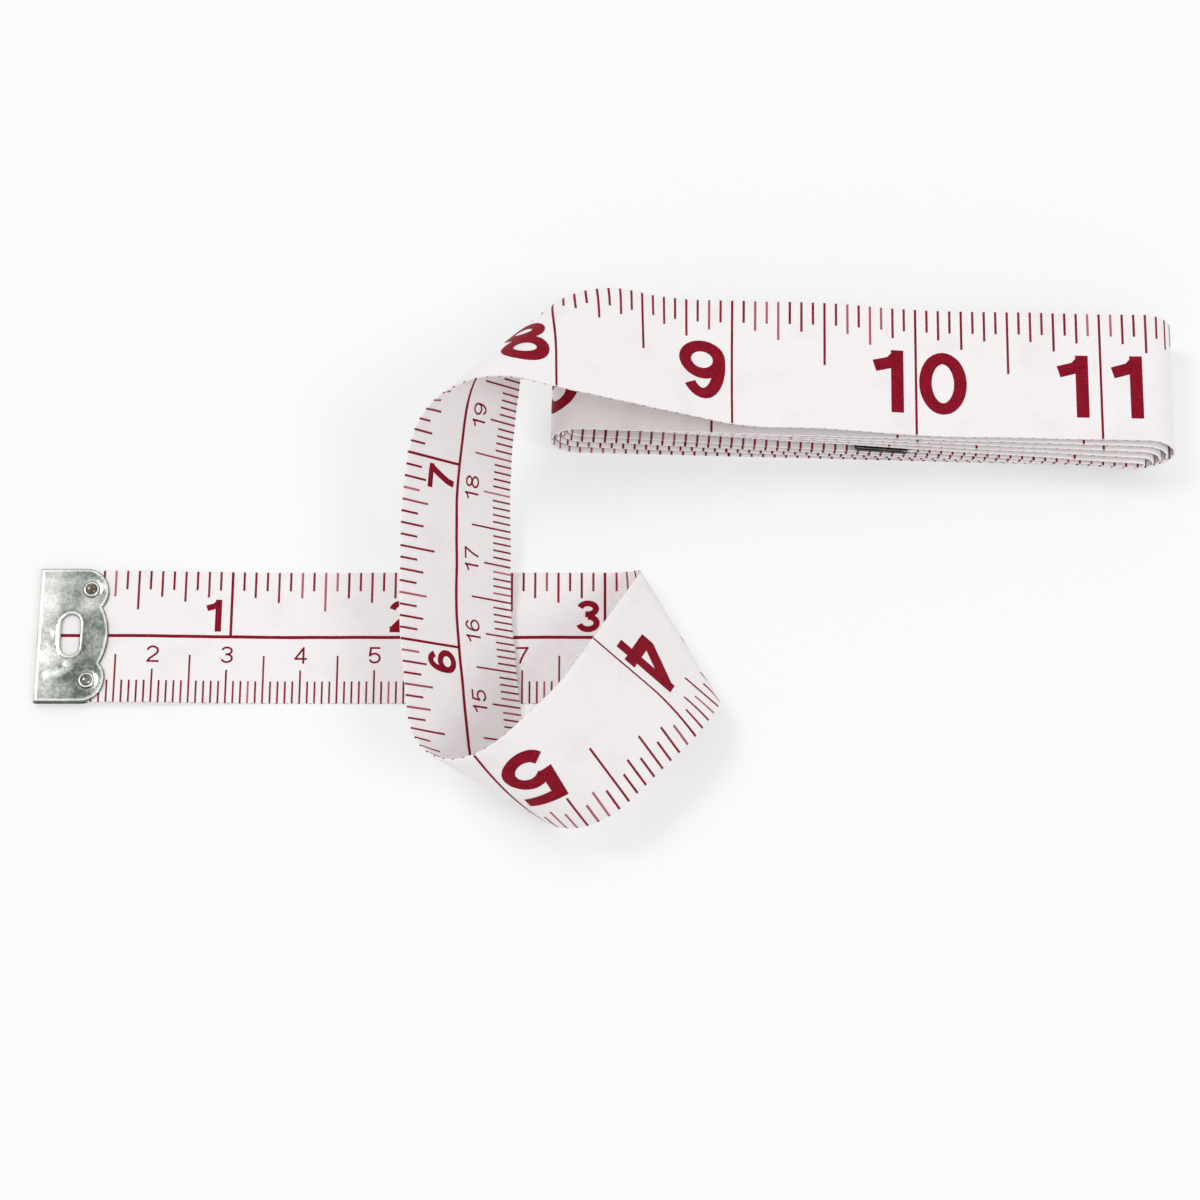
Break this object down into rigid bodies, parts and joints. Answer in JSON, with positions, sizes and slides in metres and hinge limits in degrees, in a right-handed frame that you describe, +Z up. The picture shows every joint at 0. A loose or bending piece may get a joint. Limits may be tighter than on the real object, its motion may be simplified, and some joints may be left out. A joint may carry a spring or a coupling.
{
  "type": "tape measure",
  "caption": "Soft cloth tape measure with a riveted metal clip on each end, lying with a loose twisted run and the rest folded flat.",
  "frame": {"origin": "on the surface that the tape lies on, under the middle of the whole part", "axes": "+Z up, +X along the tape's first run from the start clip, +Y from that run towards the folded bundle"},
  "size_m": [0.1556, 0.077, 0.0233],
  "materials": {
    "printed_tape": "satin vinyl coat over a fine weave, dark red print",
    "tinned_steel": "bright tinned sheet, lightly dented",
    "rivet_steel": "domed, worn bright"
  },
  "bodies": {
    "root": {"tape_loose_run": "printed_tape", "tape_folded_bundle": "printed_tape", "start_clip": "tinned_steel", "start_clip_rivet_inch_edge": "rivet_steel", "start_clip_rivet_metric_edge": "rivet_steel", "end_clip": "tinned_steel", "end_clip_rivet_inch_edge": "rivet_steel", "end_clip_rivet_metric_edge": "rivet_steel"}
  },
  "joints": []
}
